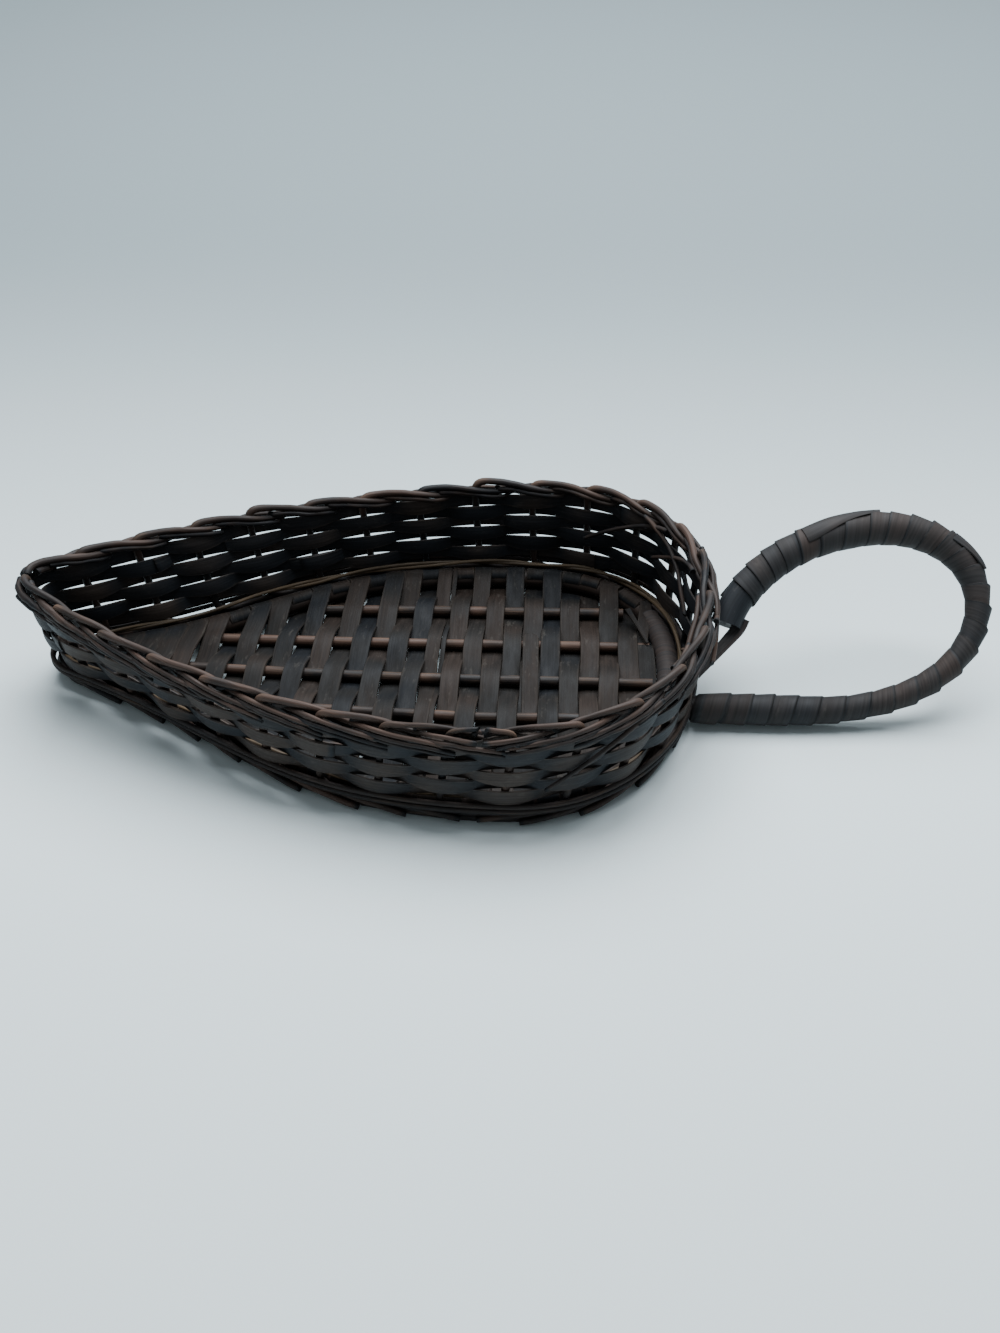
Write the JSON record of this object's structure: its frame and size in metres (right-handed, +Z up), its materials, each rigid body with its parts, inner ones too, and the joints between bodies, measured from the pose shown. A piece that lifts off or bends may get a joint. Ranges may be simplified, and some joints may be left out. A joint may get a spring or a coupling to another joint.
{
  "type": "woven basket tray with loop handle",
  "caption": "Leaf-shaped open basket tray of dark stained willow, woven over round stakes on a splint base, with a strip-bound loop handle at its round end.",
  "frame": {"origin": "middle of the bounding box at the height of the table the tray stands on", "axes": "+X from the pointed tip to the loop handle, +Y across the tray, +Z up"},
  "size_m": [0.4718, 0.2172, 0.0818],
  "materials": {
    "rod": "stained",
    "stake": "stained",
    "splint": "stained",
    "weaver": "stained",
    "wrap": "stained"
  },
  "bodies": {
    "root": {"base_hoop": "splint", "hoop_binding": "wrap", "base_rib_1": "rod", "base_rib_2": "rod", "base_rib_3": "rod", "base_rib_4": "rod", "base_rib_5": "rod", "stake_01": "stake", "stake_02": "stake", "stake_03": "stake", "stake_04": "stake", "stake_05": "stake", "stake_06": "stake", "stake_07": "stake", "stake_08": "stake", "stake_09": "stake", "stake_10": "stake", "stake_11": "stake", "stake_12": "stake", "stake_13": "stake", "stake_14": "stake", "stake_15": "stake", "stake_16": "stake", "stake_17": "stake", "stake_18": "stake", "stake_19": "stake", "stake_20": "stake", "stake_21": "stake", "stake_22": "stake", "stake_23": "stake", "stake_24": "stake", "stake_25": "stake", "stake_26": "stake", "stake_27": "stake", "stake_28": "stake", "tip_rod_1": "stake", "tip_rod_2": "stake", "tip_rod_3": "stake", "tip_rod_4": "stake", "tip_rod_5": "stake", "waling_rod": "rod", "wall_weaver_1": "weaver", "wall_weaver_2": "weaver", "wall_weaver_3": "weaver", "wall_weaver_4": "weaver", "wall_weaver_5": "weaver", "wall_weaver_6": "weaver", "handle_core": "rod", "handle_binding": "wrap", "handle_strap": "wrap"}
  },
  "joints": []
}
